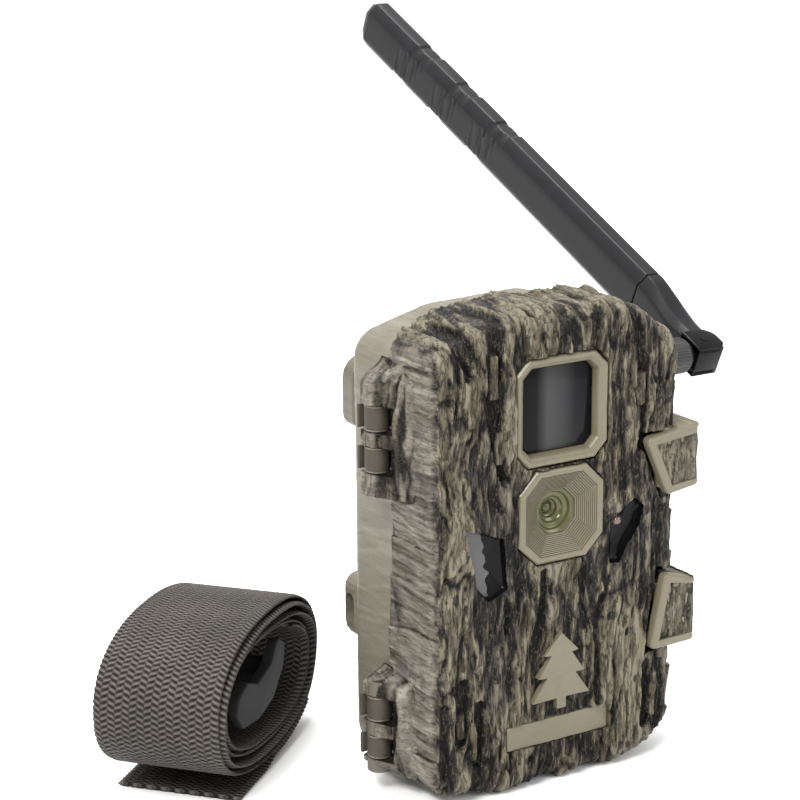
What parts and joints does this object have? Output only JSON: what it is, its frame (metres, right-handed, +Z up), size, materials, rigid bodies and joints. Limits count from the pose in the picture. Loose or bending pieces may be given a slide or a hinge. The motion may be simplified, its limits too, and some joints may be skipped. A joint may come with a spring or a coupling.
{
  "type": "trail camera",
  "caption": "Bark-patterned trail camera with a hinged front cover, two side latches, a tilting antenna, a tree bracket and a rolled webbing strap with its cam buckle.",
  "frame": {"origin": "on the flat base under the middle of the case, on the joint side of the tripod socket", "axes": "+X to the right as seen from the front, -Y out of the front face, +Z up"},
  "size_m": [0.197, 0.2219, 0.2043],
  "materials": {
    "housing": "satin moulded wood grain",
    "bark": "painted moulded bark",
    "olive": "satin",
    "black": "matte",
    "rubber": "matte",
    "steel": "satin",
    "brass": "satin",
    "board": "semi-gloss",
    "cell": "gloss",
    "dark_glass": "gloss",
    "lens": "polished",
    "pir": "satin",
    "clear": "clear",
    "red": "satin",
    "card": "satin",
    "white": "satin",
    "webbing": "coarse woven",
    "buckle": "satin"
  },
  "bodies": {
    "housing": {"rear_housing": "housing", "strap_bracket": "housing", "tripod_insert": "brass", "seal_gasket": "rubber", "hinge_pin_upper": "steel", "hinge_pin_lower": "steel", "sma_jack": "brass", "sma_jack_nut": "brass", "modem_board": "board", "antenna_lead": "black", "battery_tray": "black", "battery_1": "cell", "battery_2": "cell", "battery_3": "cell", "battery_4": "cell", "battery_5": "cell", "battery_6": "cell", "battery_7": "cell", "battery_8": "cell", "dc_jack": "black"},
    "dc_cover": {"dc_jack_cover": "rubber"},
    "cover": {"front_cover": "bark", "control_panel": "black", "main_board": "board", "lens_barrel": "black", "lens_glass": "lens", "lens_plaque": "olive", "window_frame": "olive", "led_window": "dark_glass", "led_board": "board", "pir_lens": "pir", "pir_sensor": "steel", "light_sensor_window": "black", "status_led": "clear", "tree_badge": "olive", "blank_name_plate": "olive", "lcd_screen": "dark_glass", "latch_upper_pin": "steel", "latch_lower_pin": "steel"},
    "menu_button": {"menu_button": "rubber"},
    "up_button": {"up_button": "rubber"},
    "down_button": {"down_button": "rubber"},
    "ok_button": {"ok_button": "rubber"},
    "power_switch": {"power_switch": "red"},
    "sd_card": {"sd_card": "card"},
    "sim_card": {"sim_card": "white"},
    "ir_filter": {"ir_cut_filter": "lens"},
    "latch_upper": {"latch_upper": "olive"},
    "latch_lower": {"latch_lower": "olive"},
    "sma_nut": {"sma_nut": "black"},
    "antenna_elbow": {"antenna_elbow": "black", "elbow_pin": "steel"},
    "antenna_arm": {"antenna_neck": "black", "antenna_blade": "black"},
    "strap": {"strap_webbing": "webbing", "buckle_body": "buckle", "buckle_pin": "steel"},
    "buckle_lever": {"buckle_lever": "buckle"}
  },
  "joints": [
    {"name": "cover_hinge", "type": "hinge", "parent": "housing", "child": "cover", "pos_m": [-0.046, -0.001, 0.064], "axis": [0, 0, -1], "range_deg": [0, 110]},
    {"name": "dc_cover_hinge", "type": "hinge", "parent": "housing", "child": "dc_cover", "pos_m": [0.0416, 0.015, 0.028], "axis": [0, -1, 0], "range_deg": [0, 100]},
    {"name": "menu_button_press", "type": "slide", "parent": "cover", "child": "menu_button", "axis": [0, -1, 0], "range_m": [0, 0.0005], "stiffness_N_per_m": 400},
    {"name": "up_button_press", "type": "slide", "parent": "cover", "child": "up_button", "axis": [0, -1, 0], "range_m": [0, 0.0005], "stiffness_N_per_m": 400},
    {"name": "down_button_press", "type": "slide", "parent": "cover", "child": "down_button", "axis": [0, -1, 0], "range_m": [0, 0.0005], "stiffness_N_per_m": 400},
    {"name": "ok_button_press", "type": "slide", "parent": "cover", "child": "ok_button", "axis": [0, -1, 0], "range_m": [0, 0.0005], "stiffness_N_per_m": 400},
    {"name": "power_switch_slide", "type": "slide", "parent": "cover", "child": "power_switch", "axis": [1, 0, 0], "range_m": [0, 0.006]},
    {"name": "sd_card_slide", "type": "slide", "parent": "cover", "child": "sd_card", "axis": [0, 0, -1], "range_m": [0, 0.022]},
    {"name": "sim_card_slide", "type": "slide", "parent": "cover", "child": "sim_card", "axis": [0, 0, -1], "range_m": [0, 0.009]},
    {"name": "ir_filter_shift", "type": "slide", "parent": "cover", "child": "ir_filter", "axis": [-1, 0, 0], "range_m": [0, 0.01]},
    {"name": "latch_upper_hinge", "type": "hinge", "parent": "cover", "child": "latch_upper", "pos_m": [0.037, -0.0236, 0.093], "axis": [0, 0, -1], "range_deg": [0, 27.5]},
    {"name": "latch_lower_hinge", "type": "hinge", "parent": "cover", "child": "latch_lower", "pos_m": [0.0375, -0.0236, 0.045], "axis": [0, 0, -1], "range_deg": [0, 27.5]},
    {"name": "sma_nut_spin", "type": "hinge", "parent": "housing", "child": "sma_nut", "pos_m": [0.056, 0, 0.1145], "axis": [1, 0, 0], "continuous": true},
    {"name": "antenna_swivel", "type": "hinge", "parent": "housing", "child": "antenna_elbow", "pos_m": [0.069, 0, 0.1145], "axis": [1, 0, 0], "continuous": true},
    {"name": "antenna_tilt", "type": "hinge", "parent": "antenna_elbow", "child": "antenna_arm", "pos_m": [0.069, 0, 0.1145], "axis": [0, 0.3987, -0.9171], "range_deg": [0, 90]},
    {"name": "strap_lift", "type": "slide", "parent": "housing", "child": "strap", "axis": [0, 0, 1], "range_m": [0, 0.2]},
    {"name": "buckle_lever_hinge", "type": "hinge", "parent": "strap", "child": "buckle_lever", "pos_m": [-0.07524, 0.04547, 0.0235], "axis": [-0.6561, 0.7547, 0], "range_deg": [0, 25], "stiffness_Nm_per_rad": 0.02}
  ]
}
